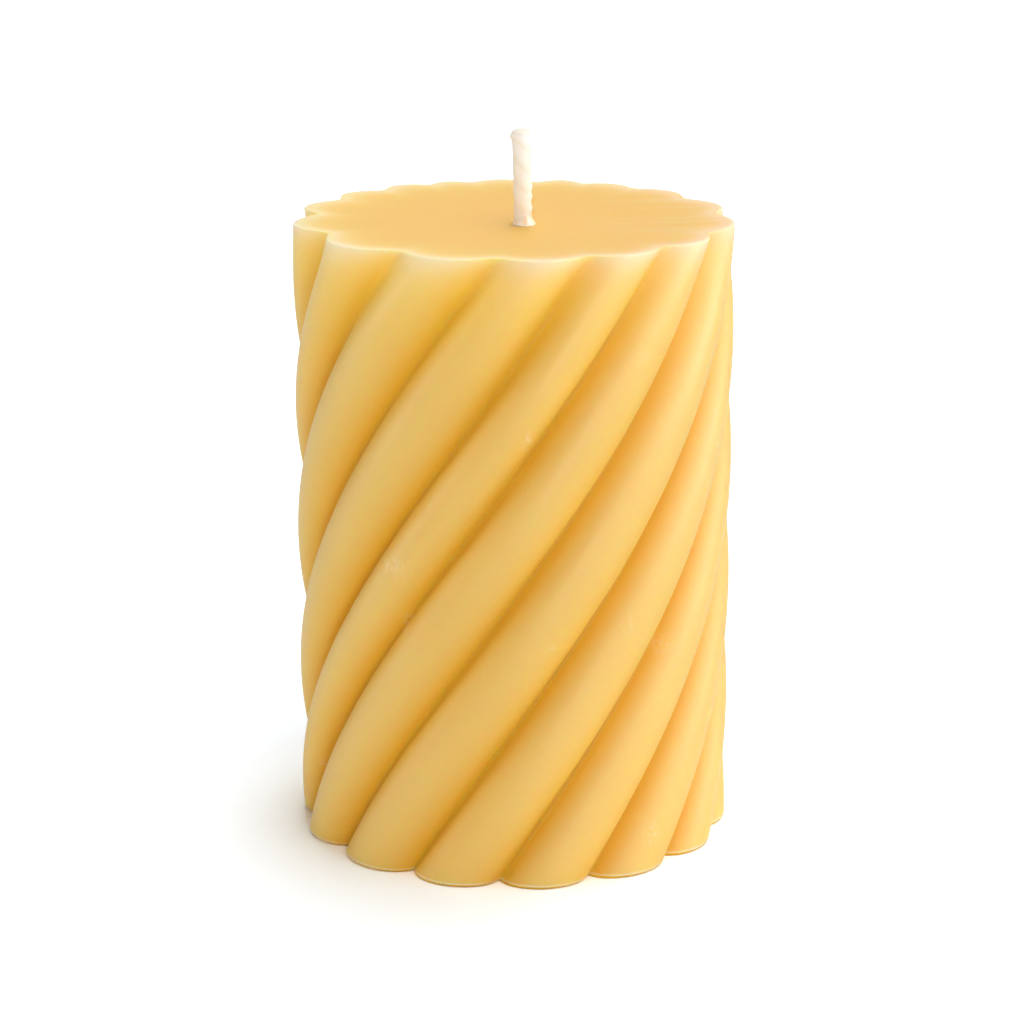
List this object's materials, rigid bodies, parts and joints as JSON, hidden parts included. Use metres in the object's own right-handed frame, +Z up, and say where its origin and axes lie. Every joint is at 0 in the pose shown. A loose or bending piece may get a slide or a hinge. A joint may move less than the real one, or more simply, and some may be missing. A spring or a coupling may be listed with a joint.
{
  "type": "spiral pillar candle",
  "caption": "Free-standing beeswax pillar candle with twisted rounded flutes, a flat top and base, and a cotton wick set in a steel sustainer.",
  "frame": {"origin": "centre of the base, on the surface that the candle stands on", "axes": "+Z up along the pillar's axis; -Y towards the picture's viewer, +X to the viewer's right"},
  "size_m": [0.07, 0.07, 0.1149],
  "materials": {
    "beeswax": "satin cast beeswax, honey yellow and slightly translucent",
    "wick_cotton": "twisted cotton primed with pale wax",
    "primer_wax": "pale translucent wax drawn up round the wick",
    "tinned_steel": "pressed tinned steel sheet"
  },
  "bodies": {
    "root": {"wax_body": "beeswax", "wick": "wick_cotton", "wick_collar": "primer_wax", "wick_sustainer": "tinned_steel"}
  },
  "joints": []
}
